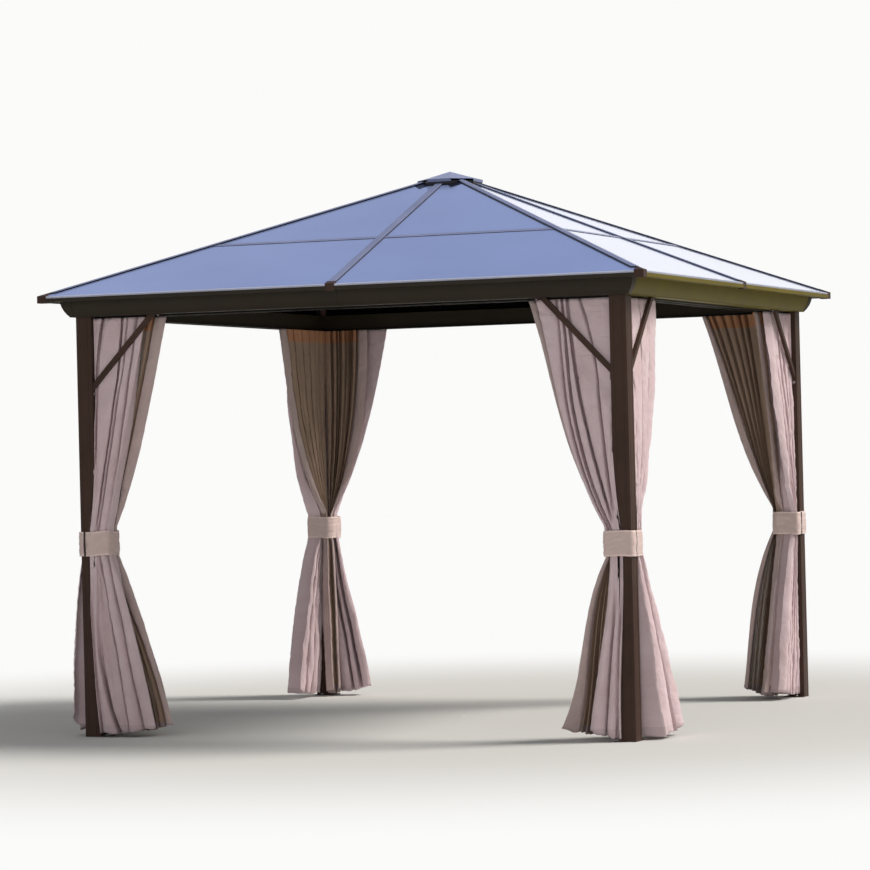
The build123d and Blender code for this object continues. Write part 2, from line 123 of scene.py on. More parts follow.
class GazeboBandSizes(bpy.types.PropertyGroup):
    corner: length("Corner", "How far from a corner the band begins to turn", 0.018)
    overlap: length("Overlap", "How far the band's end lies over its start", 0.035)
    inner: length("Inner", "How far past the post the band's inner side lies", 0.034)
    fabric: length("Fabric", "Thickness of the doubled cloth", 0.0025)
    stitch: length("Stitch line", "From the band's edge to its line of stitches", 0.008)


class GazeboColours(bpy.types.PropertyGroup):
    frame_coat: colour("Powder coat of the posts", "#47362f")
    header_coat: colour("Powder coat of the headers", "#2c251b")
    # Painted light: the right header is the same coat as the others, and this olive stands for sunlight and
    # the lawn's green bounce on that side
    painted_sunlit_coat: colour("Powder coat of the right header, olive in the garden's light", "#665b19")
    rib_coat: colour("Powder coat of the ribs", "#7f86a6")
    # Painted reflection: the panels' blue top stands for the sky that they reflect, and their own body is the
    # bronze underneath
    panel_top_painted_sky: colour("Outer skin of the roof panels", "#8d9cc9")
    panel_under: colour("Under side of the roof panels", "#3b342f")
    dark_trim: colour("Dark trim", "#16151d")
    pale_trim: colour("Pale trim", "#b9bdd0")
    # Painted reflection: the crown sheet's blue stands for the sky that it reflects, like the roof panels'
    crown: colour("Crown sheet", "#757fa6")
    # Painted shade: the tracks' silver is darkened near to black, so that they stay dark under the headers
    track: colour("Track metal", "#262524")
    curtain: colour("Curtain cloth", "#d6c2c6")
    net: colour("Net threads", "#9d8573")
    border: colour("Net border cloth", "#c2ada9")
    # Partly painted light: the heading's brown cloth is warmed to orange as painted sunlight shining through
    # it
    heading: colour("Net heading cloth", "#b08060")
    band: colour("Band cloth", "#d6bfb9")
    seal: colour("Rubber seal", "#1c1c22")
    bolt: colour("Bolt zinc", "#8f8b88")
    backdrop: colour("Backdrop", "#fbfbfa")
    floor: colour("Floor", "#d9d9d7")


class GazeboStageSizes(bpy.types.PropertyGroup):
    camera_x: length("Camera X", "Camera place, to the right", 6.2806)
    camera_y: length("Camera Y", "Camera place, behind the picture plane", -15.655)
    camera_z: length("Camera Z", "Camera height", 1.2863)
    azimuth: FloatProperty(name="Azimuth", description="Turn of the view to the left",
                           default=math.radians(22.215), subtype="ANGLE", unit="ROTATION")
    pitch: FloatProperty(name="Pitch", description="Lift of the view above the horizon",
                         default=math.radians(0.3002), subtype="ANGLE", unit="ROTATION")
    roll: FloatProperty(name="Roll", description="Turn of the picture about the view",
                        default=math.radians(-1.4023), subtype="ANGLE", unit="ROTATION")
    lens: FloatProperty(name="Lens", description="Focal length", default=142.6, subtype="DISTANCE_CAMERA")
    roof_pitch: FloatProperty(name="Roof pitch", description="Slope of the roof's faces",
                              default=math.radians(21.7), subtype="ANGLE", unit="ROTATION")
    sky: FloatProperty(name="Sky", description="Strength of the plain light from all round", default=0.34)
    key: FloatProperty(name="Key", description="Strength of the soft key light", default=3.0)
    fill: FloatProperty(name="Fill", description="Strength of the soft front light", default=0.45)
    floor_radius: length("Floor radius", "Radius of the floor", 9.0)


# How the cloth hangs at each corner, in millimetres past the post's inner face. A curtain's lines are its
# edge at the post, its valleys and its free edge. A net's are its start, and its border's two edges. The
# rows are four even heights from the track to the band, and four from the band to the hem. flare is how
# far the hem swings out, and face is 1 where the folds show outside and -1 where they show inside. back is
# how much further in than the others the curtain hangs. lift is how far the hem's corner at the post is
# raised, and sunk names the folds that lie back below the band, counted from the post.
WAISTS = {"front_left": 0.902, "front_right": 0.869, "back_right": 0.888, "back_left": 0.902}
BAND_HALF = 0.060
SEAMS = {"front_left": 0.036, "front_right": 0.046, "back_right": 0.100, "back_left": 0.100}
DRAPES = {
    ("front_left", "near"): {
        "curtain": ((3, 50, 150, 176, 226, 266), (2, 16, 118, 134, 176, 206), (0, 8, 62, 76, 124, 136),
                    (-32, -24, 4, 14, 58, 66), (-36, -28, 2, 14, 58, 68), (-30, -22, 8, 66, 112, 160),
                    (-14, -6, 26, 114, 172, 234), (6, 14, 106, 160, 228, 296)),
        "net": ((61, 284, 347), (55, 212, 274), (45, 130, 190), (35, 50, 68),
                (35, 50, 68), (50, 126, 170), (65, 222, 250), (80, 286, 322)),
        "flare": 14, "face": 1, "seed": 11, "sunk": (2,)},
    ("front_left", "far"): {
        "curtain": ((3, 90, 170, 260, 380), (3, 70, 140, 210, 300), (-4, 40, 90, 140, 190),
                    (-46, -10, 15, 35, 55), (-64, -24, 5, 30, 55), (-76, -30, 40, 95, 140),
                    (-74, -20, 80, 150, 210), (-52, 20, 120, 200, 280)),
        "net": ((61, 330, 395), (55, 240, 302), (45, 150, 205), (35, 45, 57),
                (35, 45, 57), (50, 120, 165), (65, 190, 240), (80, 260, 320)),
        "flare": 80, "face": 1, "seed": 12, "lift": 80},
    ("front_right", "near"): {
        "curtain": ((3, 76, 200, 302, 430), (4, 63, 168, 254, 348), (3, 40, 102, 158, 226),
                    (-4, 10, 30, 45, 58), (-2, 4, 30, 40, 58), (10, 18, 86, 100, 155),
                    (24, 34, 140, 154, 240), (40, 52, 200, 220, 345)),
        "net": ((61, 330, 395), (55, 240, 302), (45, 150, 205), (35, 45, 57),
                (35, 45, 57), (50, 110, 140), (65, 160, 200), (80, 230, 290)),
        "flare": 84, "face": 1, "seed": 23},
    ("front_right", "far"): {
        "curtain": ((3, 150, 204, 228, 259, 352), (3, 73, 165, 198, 227, 276), (-2, 40, 95, 141, 167, 192),
                    (-31, -18, -4, 14, 30, 50), (-38, -36, -32, -26, -4, 24), (-30, -27, -23, -18, 10, 46),
                    (-16, -13, -9, -4, 38, 88), (-12, -8, -2, 6, 60, 130)),
        "net": ((61, 368, 410), (55, 290, 316), (45, 202, 224), (34, 46, 58),
                (34, 46, 58), (44, 136, 161), (60, 176, 216), (78, 226, 308)),
        "flare": 14, "face": 1, "seed": 24},
    ("back_right", "near"): {
        "curtain": ((3, 95, 185, 285, 400), (3, 78, 146, 215, 290), (3, 48, 96, 146, 198),
                    (0, 15, 30, 42, 55), (0, 15, 30, 42, 55), (3, 25, 50, 80, 105),
                    (3, 35, 70, 105, 140), (6, 45, 90, 130, 170)),
        "net": ((50, 372, 402), (46, 262, 306), (40, 164, 212), (33, 50, 57),
                (33, 50, 57), (40, 126, 152), (55, 166, 192), (70, 196, 222)),
        "flare": 10, "face": -1, "seed": 35},
    ("back_right", "far"): {
        "curtain": ((3, 60, 130, 200, 290, 385), (3, 50, 110, 160, 220, 312), (3, 32, 70, 110, 150, 215),
                    (3, 14, 25, 36, 48, 60), (3, 14, 25, 36, 48, 60), (3, 24, 50, 80, 120, 160),
                    (3, 34, 80, 130, 180, 225), (3, 40, 100, 160, 220, 270)),
        "net": ((61, 330, 395), (55, 240, 302), (45, 150, 205), (35, 45, 57),
                (35, 45, 57), (50, 110, 140), (65, 160, 200), (80, 230, 290)),
        "flare": -24, "face": 1, "seed": 36, "back": 16},
    ("back_left", "near"): {
        "curtain": ((3, 100, 205, 315, 440), (3, 92, 185, 285, 400), (3, 72, 145, 225, 318),
                    (0, 15, 30, 45, 58), (0, 15, 30, 45, 58), (20, 60, 100, 140, 175),
                    (40, 90, 140, 200, 255), (60, 120, 180, 250, 340)),
        "net": ((36, 540, 625), (35, 440, 522), (34, 300, 370), (33, 47, 57),
                (33, 45, 55), (40, 60, 72), (50, 74, 88), (60, 84, 98)),
        "flare": 34, "face": -1, "seed": 47},
    ("back_left", "far"): {
        "curtain": ((3, 80, 160, 250, 377), (3, 60, 130, 200, 302), (3, 40, 90, 140, 200),
                    (0, 12, 24, 36, 50), (-30, -8, 20, 40, 56), (-32, 0, 50, 84, 118),
                    (-28, 16, 100, 140, 190), (-8, 62, 145, 192, 244)),
        "net": ((36, 232, 286), (35, 208, 264), (34, 152, 198), (33, 40, 48),
                (33, 40, 48), (40, 56, 66), (50, 66, 78), (60, 80, 92)),
        "flare": -10, "face": -1, "seed": 48},
}


# Mesh helpers
def surface(name, points, uv=None, closed=False, flip=False):
    """An object from a grid of points, with a face between each four neighbours.

    closed joins the last column to the first, and flip turns the faces over."""
    rows, columns = points.shape[:2]
    index = np.arange(rows * columns).reshape(rows, columns)
    if closed:
        index = np.concatenate([index, index[:, :1]], axis=1)
    quads = np.stack([index[:-1, :-1], index[:-1, 1:], index[1:, 1:], index[1:, :-1]], axis=-1)
    quads = quads.reshape(-1, 4)
    if flip:
        quads = quads[:, ::-1]
    mesh = bpy.data.meshes.new(name)
    mesh.from_pydata(points.reshape(-1, 3).tolist(), [], quads.tolist())
    mesh.polygons.foreach_set("use_smooth", np.ones(len(quads), bool))
    if uv is not None:
        layer = mesh.uv_layers.new(name="cloth")
        layer.data.foreach_set("uv", uv.reshape(-1, 2)[quads.reshape(-1)].reshape(-1))
    mesh.update()
    made = bpy.data.objects.new(name, mesh)
    bpy.context.scene.collection.objects.link(made)
    return made


def finish_piece(piece, material):
    piece.data.materials.append(material)
    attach(piece, "root")


def ripple(u, v, seed, waves=9, low=1.0, high=4.0):
    """Gentle unevenness from about -1 to 1: a sum of plane waves over the square root of their number,
    whose ways and phases come from the seed."""
    rng = np.random.default_rng(seed)
    across = rng.uniform(-high, high, waves)
    along = rng.uniform(-high, high, waves)
    size = np.hypot(across, along)
    across = across * np.maximum(1, low / size)
    along = along * np.maximum(1, low / size)
    phase = rng.uniform(0, 2 * math.pi, waves)
    angle = 2 * math.pi * (u[..., None] * across + v[..., None] * along) + phase
    return np.sin(angle).sum(axis=-1) / math.sqrt(waves)


def ease(x):
    x = np.clip(x, 0, 1)
    return x * x * (3 - 2 * x)


def quarter_turns(points, count):
    """Points turned about the middle by quarter turns, from the front round to the right."""
    turn = math.pi / 2 * count
    c, s = round(math.cos(turn)), round(math.sin(turn))
    return points @ np.array([[c, s, 0], [-s, c, 0], [0, 0, 1]], float)


def to_corner(points, corner, far):
    """Points of the near piece of the left front post, carried to a corner.

    far mirrors them in the diagonal first, so they lie on the corner's other side."""
    if far:
        points = points[..., [1, 0, 2]]
    return quarter_turns(points, CORNERS.index(corner))


# Curtains and nets, in metres. A share is of half the cloth's depth where it hangs.
FOLD_LEAST = 0.002          # least width of a fold
FOLD_HEIGHT = 0.92          # share, at the middle of a fold
FOLD_SAG = 0.34             # share, from its middle to its sides
FOLD_LEAN = 0.22            # share, by which one side can stand higher
FOLD_SUNK = 0.6             # share, by which a sunk fold lies back
FOLD_WAVE = 0.08            # share, of the unevenness that runs across the folds
VALLEY_HALF = 0.0036        # half the width of a valley
VALLEY_MOST = 0.24          # most of the slimmer fold beside it that half a valley takes
VALLEY_DEPTH = 2.2          # share, by which the deepest valley dips back
VALLEY_SLIDE = 0.018        # how far a fold slides behind its neighbour
SLIDE_MOST = 0.9            # most of the slimmer fold that it slides
DEPTHS = (-1.1, 1.05)       # least and greatest share at which cloth lies
CREASES = ((0.0020, 5.0, 11.0), (0.0016, 12.0, 24.0))   # height, and fewest and most waves in a metre
CREASE_RIDGE = 0.75         # where a crease's ridge stands, against the cloth
HEM_LOW = 0.004             # height of the hem over the cloth's foot, at the post
HEM_RISE = 0.034            # how much higher it is at the free edge
HEM_WAVE = 0.005            # its unevenness
HEM_LIMITS = (0.002, 0.05)  # its least and greatest height
HEM_CORNER = 0.3            # of the cloth's width, the part by the post that lift raises
HEM_CURL = 0.009            # how far the hem rises at a valley
LAP_EDGE = 0.0045           # how far past the post's side lapping cloth stays in line with its face
LAP_FALL = 2                # how steeply it falls back from there
LAP_START, LAP_FREE = 0.002, 5  # how far an edge has to lap, and how fast one that doesn't is let go
LAP_FACE = 0.0024           # from the post's outer face to cloth that laps it
LAP_BACK = 0.0026           # from the post's inner face to cloth that laps it
BESIDE = 0.0026             # from the post's side to cloth that hangs beside it
BRACE_GAP = 0.002           # from the brace's inner face to cloth behind it
BRACE_FREE = 0.034          # how far the cloth comes out again under the brace
BRACE_UNDER, BRACE_RUN = 0.02, 0.20    # how far under it that begins, and over what height
BRACE_REACH = 0.25          # from the brace's foot down to the last cloth that it holds back
NET_FLARE = 0.3             # of the curtain's flare
CURTAIN_GRID, NET_GRID, BORDER_GRID = (191, 150), (201, 90), (25, 150)


def through(rows, t):
    """The cubic through four rows at 0, 1/3, 2/3 and 1."""
    t = t[:, None]
    shares = ((1 - 3 * t) * (2 - 3 * t) * (1 - t) / 2, 4.5 * t * (2 - 3 * t) * (1 - t),
              4.5 * t * (3 * t - 1) * (1 - t), t * (3 * t - 1) * (3 * t - 2) / 2)
    return sum(share * row for share, row in zip(shares, rows))


def hang(v, waist):
    """How far down the cloth is between the track and the band, and between the band and the hem."""
    z = CLOTH_TOP - v * (CLOTH_TOP - CLOTH_FOOT)
    low, high = waist - BAND_HALF, waist + BAND_HALF
    return np.clip((CLOTH_TOP - z) / (CLOTH_TOP - high), 0, 1), np.clip((low - z) / (low - CLOTH_FOOT), 0, 1)


def places(rows, v, waist):
    """Where each line of the cloth lies at each height: a cubic above the band and another below it."""
    up, down = hang(v, waist)
    rows = np.array(rows) / 1000
    z = CLOTH_TOP - v * (CLOTH_TOP - CLOTH_FOOT)
    below = ease(0.5 - (z - waist) / (2 * BAND_HALF))[:, None]
    return through(rows[:4], up) * (1 - below) + through(rows[4:], down) * below


def hem_height(across, share, seed, lift):
    """Height of the hem over the cloth's foot. It rises towards the free edge by a square, with a gentle
    unevenness, and curls up at the valleys by a fourth power. lift raises its corner at the post."""
    hem = HEM_LOW + HEM_RISE * across ** 2 + HEM_WAVE * ripple(across, 0 * across, seed, high=4.0)
    hem = np.clip(hem, *HEM_LIMITS) + lift * (1 - ease(across / HEM_CORNER))
    return hem + HEM_CURL * (2 * share - 1) ** 4 * (1 - across)


def clear_of_post(out, along, base, start, face):
    """Where the edge laps over the post, the cloth next to it comes out to the post's face and falls
    back from it in a straight line. Cloth that isn't out there stays beside the post."""
    turned = LAP_FALL * np.maximum(base - LAP_EDGE, 0) + LAP_FREE * np.maximum(start + LAP_START, 0)
    if face > 0:
        out = np.maximum(out, POST_OUT + LAP_FACE - turned)
        beside = out < POST_OUT + LAP_FACE - 0.0001
    else:
        out = np.minimum(out, POST_IN - LAP_BACK + turned)
        beside = out > POST_IN - LAP_BACK + 0.0001
    return out, np.where(beside, np.maximum(along, BESIDE), along)


def clear_of_brace(out, along, z):
    """The cloth stays behind the brace's inner face, and comes out again by a smooth step under it."""
    brace = BRACE_LOW + (HEADER_LOW - BRACE_LOW) * np.clip(along / (BRACE_END + POST_IN), 0, 1)
    limit = BRACE_IN - BRACE_GAP + BRACE_FREE * ease((brace - BRACE_UNDER - z) / BRACE_RUN)
    return np.where(z > BRACE_LOW - BRACE_REACH, np.minimum(out, limit), out)


def drape(p, v, rows, waist, sizes, face, seed, flare, back=0.0, lift=0.0, sunk=()):
    """A gathered cloth beside the left front post, as broad folds with narrow valleys between them.

    p counts the folds across the cloth and v runs down it. The valleys stand on the given lines. Across
    a fold the cloth bows by a parabola and leans a little. At each line it dips back by a bell curve, and
    slides behind its neighbour by another, so that the folds overlap. A dip's depth rises and falls down
    the cloth. The depth of the whole goes from the track's to the band's by a cube, and on to the hem's.
    Creases are the absolute value of a gentle unevenness, which is sharp where that is nought."""
    rng = np.random.default_rng(seed)
    lines = places(rows, v[:, 0], waist)
    start = lines[:, :1]
    count = lines.shape[1] - 1
    row = np.arange(len(v))[:, None]
    order = np.clip(np.floor(p).astype(int), 0, count - 1)
    nearest = np.clip(np.round(p).astype(int), 0, count)
    widths = np.maximum(np.diff(lines, axis=1), FOLD_LEAST)
    slim = np.minimum(np.concatenate([widths[:, :1], widths], axis=1),
                      np.concatenate([widths, widths[:, -1:]], axis=1))
    share = p - order
    base = lines[row, order] + widths[row, order] * share
    across = (base - start) / (lines[:, -1:] - start)

    narrow = np.minimum(VALLEY_HALF, VALLEY_MOST * slim)[row, nearest]
    away = (p - nearest) * widths[row, order] / narrow
    inner = (nearest > 0) & (nearest < count)
    rise = rng.uniform(0.5, 1.5, count + 1)[nearest]
    turn = rng.uniform(0, 2 * math.pi, count + 1)[nearest]
    depth = np.clip(0.88 + 0.30 * np.sin(2 * math.pi * rise * v + turn), 0.25, 1)
    dip = VALLEY_DEPTH * depth * np.exp(-away ** 2) * inner
    side = np.where(rng.uniform(-1, 1, count + 1) > 0, 1.0, -1.0)[nearest]
    slide = side * np.exp(-(away - 0.4 * side) ** 2) * inner
    lean = rng.uniform(-1, 1, count)[order]
    bowed = FOLD_HEIGHT - FOLD_SAG * (2 * share - 1) ** 2 + FOLD_LEAN * lean * (2 * share - 1)

    up, down = hang(v, waist)
    bowed = bowed - FOLD_SUNK * np.isin(order, sunk) * ease(4 * share * (1 - share)) * ease(down * 4)
    inset = sizes.waist_inset + np.where(up < 1, (sizes.inset - sizes.waist_inset) * (1 - up) ** 3,
                                         (sizes.foot_inset - sizes.waist_inset) * down ** 1.2)
    half = sizes.waist_half + np.where(up < 1, (sizes.half - sizes.waist_half) * (1 - up) ** 3,
                                       (sizes.foot_half - sizes.waist_half) * ease(down * 1.3))
    centre = POST_OUT - inset - back + flare * down ** 0.9
    high = CLOTH_TOP - 0.001
    z = high - v * (high - CLOTH_FOOT - hem_height(across, share, seed + 3, lift))

    wave = FOLD_WAVE * ripple(base * 5, z * 1.6, seed + 2, high=2.0)
    crease = sum(height * (CREASE_RIDGE - np.abs(ripple(base, z, seed + 4 + k, waves=8, low=few, high=many)))
                 for k, (height, few, many) in enumerate(CREASES))
    out = centre + half * np.clip(face * (bowed - dip) + wave, *DEPTHS) + face * crease
    along = base + slide * np.minimum(VALLEY_SLIDE, SLIDE_MOST * slim[row, nearest])
    out, along = clear_of_post(out, along, base, start, face)
    return np.stack([along - POST_IN, -clear_of_brace(out, along, z), z], axis=-1)


def cloth_grid(first, last, columns, rows):
    """Folds across and share down the cloth: columns crowd towards the valleys, and rows are even."""
    step = np.linspace(first, last, columns)
    whole = np.floor(step)
    return np.meshgrid(whole + 0.5 - 0.5 * np.cos(math.pi * (step - whole)), np.linspace(0, 1, rows))


def cloth_uv(points, width):
    """Cloth coordinates: how far across the flat cloth, by the length of the folds a quarter of the way
    down, and how far down."""
    row = points[len(points) // 4]
    steps = np.hypot(*np.diff(row[:, :2], axis=0).T)
    across = np.concatenate([[0], np.cumsum(steps)])
    across = np.broadcast_to(across / across[-1] * width, points.shape[:2])
    return np.stack([across, CLOTH_TOP - points[..., 2]], axis=-1)


def thicken(piece, thickness):
    solid = piece.modifiers.new("cloth", "SOLIDIFY")
    solid.thickness = thickness
    solid.offset = 0


def make_curtains(sizes, materials):
    """The curtains, one on either side of every post."""
    for (corner, side), facts in DRAPES.items():
        far = side == "far"
        p, v = cloth_grid(0, len(facts["curtain"][0]) - 1, *CURTAIN_GRID)
        points = drape(p, v, facts["curtain"], WAISTS[corner], sizes, facts["face"], facts["seed"],
                       facts["flare"] / 1000, facts.get("back", 0) / 1000, facts.get("lift", 0) / 1000,
                       facts.get("sunk", ()))
        piece = surface(f"curtain_{corner}_{side}", to_corner(points, corner, far),
                        cloth_uv(points, sizes.cut_width), flip=not far)
        thicken(piece, sizes.fabric)
        finish_piece(piece, materials["curtain_cloth"])
        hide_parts("curtains_" + corner)


def net_lines(rows, folds, seed):
    """The net's lines: uneven folds between its start and its border, and then the border's far edge."""
    shares = np.random.default_rng(seed).uniform(0.5, 1.5, folds)
    shares = np.concatenate([[0], np.cumsum(shares) / shares.sum()])
    return [(*(start + (inner - start) * shares), outer) for start, inner, outer in rows]


def make_nets(sizes, materials):
    """The nets, each with a cloth border down its free edge."""
    count = sizes.folds
    main = sizes.cut_width - sizes.border
    for (corner, side), facts in DRAPES.items():
        far = side == "far"
        parts = {}
        lines = net_lines(facts["net"], count, facts["seed"] + 60)
        for part, first, last, grid, width in (("net", 0, count, NET_GRID, main),
                                               ("net_border", count, count + 1, BORDER_GRID, sizes.border)):
            p, v = cloth_grid(first, last, *grid)
            points = drape(p, v, lines, WAISTS[corner], sizes, facts["face"], facts["seed"] + 100,
                           NET_FLARE * facts["flare"] / 1000)
            parts[part] = surface(f"{part}_{corner}_{side}", to_corner(points, corner, far),
                                  cloth_uv(points, width), flip=not far)
        thicken(parts["net_border"], sizes.fabric)
        finish_piece(parts["net_border"], materials["border_cloth"])
        finish_piece(parts["net"], materials["net_cloth"])
        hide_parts("nets_" + corner)


# Tie bands, in metres
BAND_SKIN = 0.0003          # from the solid band's face to the cloth's
BAND_LOOSE = 0.003          # from the widest curtain to the band round it
BAND_STEP = 0.010           # least length of the plan's short sides
BAND_STARTS = (0.022, 0.024)    # least distance of the hidden and the shown end from the post's corner
BAND_LIFT = 0.0034          # by which the shown end lies over the hidden one
BAND_BOW = 0.0016           # by which the band bows out between its edges
BAND_PLEAT = 0.0011         # height of its pleats
BAND_EDGE = 0.002           # unevenness of its edges
BAND_INSIDE = 0.003         # from the solid band's edges to the cloth's
BAND_GRID = (260, 26)


def band_line(sizes, near_waist, far_waist, seam):
    """The band's plan at the left front post, as even steps along its length, with how far along.

    Straight runs join the corners, and each corner is turned by a parabola between two points that
    lie a set distance from it. The line starts and ends on the front face, one end over the other."""
    out = BAND_OUT - sizes.fabric / 2 - BAND_SKIN
    near_end = POST_IN - near_waist - BAND_LOOSE
    far_end = POST_IN - far_waist - BAND_LOOSE
    near_inner = max(POST_IN - sizes.inner, near_end + BAND_STEP)
    far_inner = max(POST_IN - sizes.inner, far_end + BAND_STEP)
    corners = np.array([(-near_end, -out), (-near_end, -near_inner), (-far_inner, -far_end),
                        (-out, -far_end), (-out, -out)])
    before = np.roll(corners, 1, axis=0) - corners
    after = np.roll(corners, -1, axis=0) - corners
    reach = np.minimum(sizes.corner, 0.45 * np.minimum(np.hypot(*before.T), np.hypot(*after.T)))[:, None]
    start = corners + before / np.hypot(*before.T)[:, None] * reach
    stop = corners + after / np.hypot(*after.T)[:, None] * reach
    t = np.linspace(0, 1, 9)[None, :, None]
    turns = (1 - t) ** 2 * start[:, None] + 2 * t * (1 - t) * corners[:, None] + t ** 2 * stop[:, None]
    turns = turns.reshape(-1, 2)
    hidden, shown = (np.array([[-out + max(end, least), -out]])
                     for end, least in zip((seam - sizes.overlap, seam), BAND_STARTS))
    line = np.concatenate([hidden, turns, shown])
    steps = np.hypot(*np.diff(line, axis=0).T)
    along = np.concatenate([[0], np.cumsum(steps)])
    even = np.linspace(0, along[-1], BAND_GRID[0])
    return np.stack([np.interp(even, along, line[:, k]) for k in (0, 1)], axis=-1), even


def make_bands(sizes, materials):
    """Each band is its plan carried up its height: it bows out by a sine between its stitched edges,
    and its last stretch is lifted by the cloth's thickness, to lie over its start."""
    up = np.linspace(0, 1, BAND_GRID[1])[:, None]
    for corner in CORNERS:
        far = corner == "back_right"
        waists = [DRAPES[corner, side]["curtain"][3][-1] / 1000
                  for side in (("far", "near") if far else ("near", "far"))]
        line, along = band_line(sizes, *waists, SEAMS[corner])
        total = along[-1]
        slope = np.gradient(line, axis=0)
        slope = slope / np.hypot(*slope.T)[:, None]
        normal = np.stack([slope[:, 1], -slope[:, 0]], axis=-1)
        lift = BAND_LIFT * ease((along - (total - 2 * sizes.overlap)) / sizes.overlap)[None, :]
        seed = 70 + CORNERS.index(corner)
        flat, tall = np.broadcast_arrays(along / total, up)
        wave = ripple(flat * 3, tall, seed, high=2.0)
        pleat = ripple(flat * 1.5, tall * 3, seed + 5, waves=12, high=4.0)
        bow = BAND_BOW * np.sin(math.pi * tall) * (1 + wave) + BAND_PLEAT * pleat + lift
        edge = BAND_EDGE * ripple(flat * 2, 0 * tall, seed + 9, high=2.0)
        low = WAISTS[corner] - BAND_HALF + BAND_INSIDE
        z = low + edge + tall * 2 * (BAND_HALF - BAND_INSIDE)
        points = np.concatenate([line[None] + normal[None] * bow[..., None], z[..., None]], axis=-1)
        uv = np.stack([(1 - flat) * total, tall * 2 * BAND_HALF], axis=-1)
        piece = surface("tie_band_" + corner, to_corner(points, corner, far), uv, flip=far)
        thicken(piece, sizes.fabric * 0.6)
        finish_piece(piece, materials["band_cloth"])
        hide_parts("tie_bands")


# Bolts and seals, in metres
BOLT_IN = 0.013             # from a brace's end or a post's side to its bolt
BRACE_TAB = 0.004           # thickness of the plates at a brace's ends
SCREW_APART = 0.02          # from the middle of a post's face to a screw
SCREW_LOW = 0.03            # from the header's underside down to the screws
SEAL_RADIUS = 0.0022
SEAL_HEIGHT = 1.6           # of its radius
SEAL_STOP = 0.050           # from each end of a rib's cap to its seals
EAVE_DEPTH = 0.028          # from the eave bar's outer face to its top inner edge
PANEL_UP = 0.0062           # from that edge to the panels' outer face, square to the roof


def domes(name, places, ways, radius, height, material):
    """Round screw heads: a quarter ellipse turned about each head's own axis, with a washer's rim."""
    rings, around = 6, 12
    share = np.linspace(0, 1, rings)
    r = np.concatenate([[radius * 1.35, radius * 1.35], radius * np.cos(share * math.pi / 2)])
    h = np.concatenate([[0, height * 0.18], height * (0.2 + 0.8 * np.sin(share * math.pi / 2))])
    r[-1] = radius * 0.02
    turn = np.linspace(0, 2 * math.pi, around, endpoint=False)
    local = np.stack([r[:, None] * np.cos(turn), r[:, None] * np.sin(turn), h[:, None] + 0 * turn], axis=-1)
    ways = np.asarray(ways, float)
    side = np.where(np.abs(ways[:, 2:]) > 0.5, [[1.0, 0, 0]], [[0, 0, 1.0]])
    across = np.cross(ways, side)
    third = np.cross(ways, across)
    basis = np.stack([across, third, ways], axis=1)
    cloud = np.einsum("rac,pcd->prad", local, basis) + np.asarray(places, float)[:, None, None, :]
    rows = len(r)
    index = np.arange(cloud[..., 0].size).reshape(len(places), rows, around)
    wrapped = np.concatenate([index, index[..., :1]], axis=-1)
    quads = np.stack([wrapped[:, :-1, :-1], wrapped[:, :-1, 1:], wrapped[:, 1:, 1:], wrapped[:, 1:, :-1]],
                     axis=-1).reshape(-1, 4)
    caps = [list(row) for row in index[:, -1]] + [list(row[::-1]) for row in index[:, 0]]
    mesh = bpy.data.meshes.new(name)
    mesh.from_pydata(cloud.reshape(-1, 3).tolist(), [], quads.tolist() + caps)
    mesh.update()
    made = bpy.data.objects.new(name, mesh)
    bpy.context.scene.collection.objects.link(made)
    finish_piece(made, material)


def around_gazebo(points):
    """Points or directions at the left front post's near side, carried to both sides of every corner."""
    points = np.asarray(points, float)
    return np.concatenate([to_corner(points, corner, far) for corner in CORNERS for far in (False, True)])


def make_bolts(materials):
    """Bolts at the braces' ends and the feet, and a pair of screws at the top of each post's faces."""
    brace_mid = -(POST_OUT - BRACE_INSET - BRACE_DEPTH / 2)
    post_mid = -(POST_IN + POST_OUT) / 2
    brace_places = [(BRACE_TAB - POST_IN, brace_mid, BRACE_LOW + BOLT_IN),
                    (BRACE_END - BOLT_IN, brace_mid, HEADER_LOW - BRACE_TAB)]
    screw_places = [(post_mid + off, -POST_OUT, HEADER_LOW - SCREW_LOW)
                    for off in (-SCREW_APART, SCREW_APART)]
    foot_places = [(BOLT_IN - POST_IN, post_mid, FOOT_TOP)]
    for name, places, ways, radius, height, slot in (
            ("brace_bolts", brace_places, [(1, 0, 0), (0, 0, -1)], 0.006, 0.004, "bolt_zinc"),
            ("post_screws", screw_places, [(0, -1, 0), (0, -1, 0)], 0.0035, 0.002, "frame_coat"),
            ("foot_bolts", foot_places, [(0, 0, 1)], 0.0085, 0.007, "bolt_zinc")):
        domes(name, around_gazebo(places), around_gazebo(ways), radius, height, materials[slot])


def make_seals(materials, pitch):
    """Rubber beads along both edges of the middle rib's cap on each side: half an ellipse carried straight up
    the roof.
    """
    turn = np.linspace(0, math.pi, 7)
    y = np.linspace(-(EAVE - SEAL_STOP), -(RIB_INNER + SEAL_STOP), 12)
    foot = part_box("eave_bar_front")[1].z + PANEL_UP / math.cos(pitch)
    z = foot + (EAVE - EAVE_DEPTH + y) * math.tan(pitch)
    for count, side in enumerate(SIDES):
        for hand, which in ((-1, "left"), (1, "right")):
            x = hand * (CAP_HALF + 0.5 * SEAL_RADIUS)
            points = np.stack(np.broadcast_arrays(
                (x + SEAL_RADIUS * np.cos(turn))[None], y[:, None],
                z[:, None] + SEAL_HEIGHT * SEAL_RADIUS * np.sin(turn)[None]), axis=-1)
            piece = surface(f"rib_seal_{side}_{which}", quarter_turns(points, count), closed=True)
            finish_piece(piece, materials["rubber_seal"])


